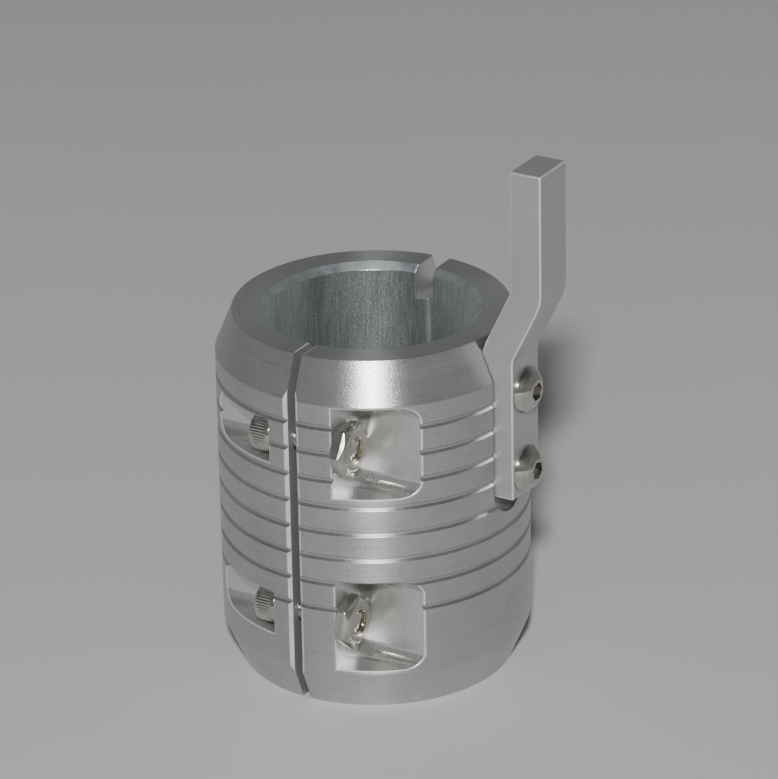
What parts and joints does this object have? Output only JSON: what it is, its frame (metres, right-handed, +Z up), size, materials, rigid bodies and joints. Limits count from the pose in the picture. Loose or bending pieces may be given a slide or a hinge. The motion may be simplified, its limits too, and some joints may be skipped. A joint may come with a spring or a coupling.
{
  "type": "split clamping sleeve with actuating arm",
  "caption": "Turned aluminium clamping sleeve with ring grooves, a front slit closed by cap screws with nuts in milled pockets, and a joggled bar bolted to its side.",
  "frame": {"origin": "centre of the sleeve's bottom face, on the bore axis", "axes": "+Z up along the bore, -Y through the front slit, +X through the arm and the nut pockets"},
  "size_m": [0.0699, 0.0613, 0.1075],
  "materials": {
    "sleeve_aluminium": "turned satin",
    "bar_aluminium": "milled satin",
    "screw_steel": "bright",
    "nut_steel": "plated"
  },
  "bodies": {
    "sleeve": {"fixed_jaw": "sleeve_aluminium", "arm": "bar_aluminium", "arm_screws": "screw_steel", "upper_clamp_nut": "nut_steel", "lower_clamp_nut": "nut_steel"},
    "clamp_side": {"moving_jaw": "sleeve_aluminium"},
    "upper_screw": {"upper_clamp_screw": "screw_steel"},
    "lower_screw": {"lower_clamp_screw": "screw_steel"}
  },
  "joints": [
    {"name": "jaw_close", "type": "hinge", "parent": "sleeve", "child": "clamp_side", "pos_m": [0, 0.0215, 0], "axis": [0, 0, 1], "range_deg": [0, 0.5]},
    {"name": "upper_screw_turn", "type": "hinge", "parent": "clamp_side", "child": "upper_screw", "pos_m": [0, -0.0256, 0.0545], "axis": [1, 0, 0], "range_deg": [0, 186]},
    {"name": "lower_screw_turn", "type": "hinge", "parent": "clamp_side", "child": "lower_screw", "pos_m": [0, -0.0256, 0.0183], "axis": [1, 0, 0], "range_deg": [0, 186.5]}
  ],
  "couplings": [
    {"joint": "lower_screw_turn", "follows": "upper_screw_turn", "ratio": 1},
    {"joint": "jaw_close", "follows": "upper_screw_turn", "ratio": 0.002683}
  ]
}
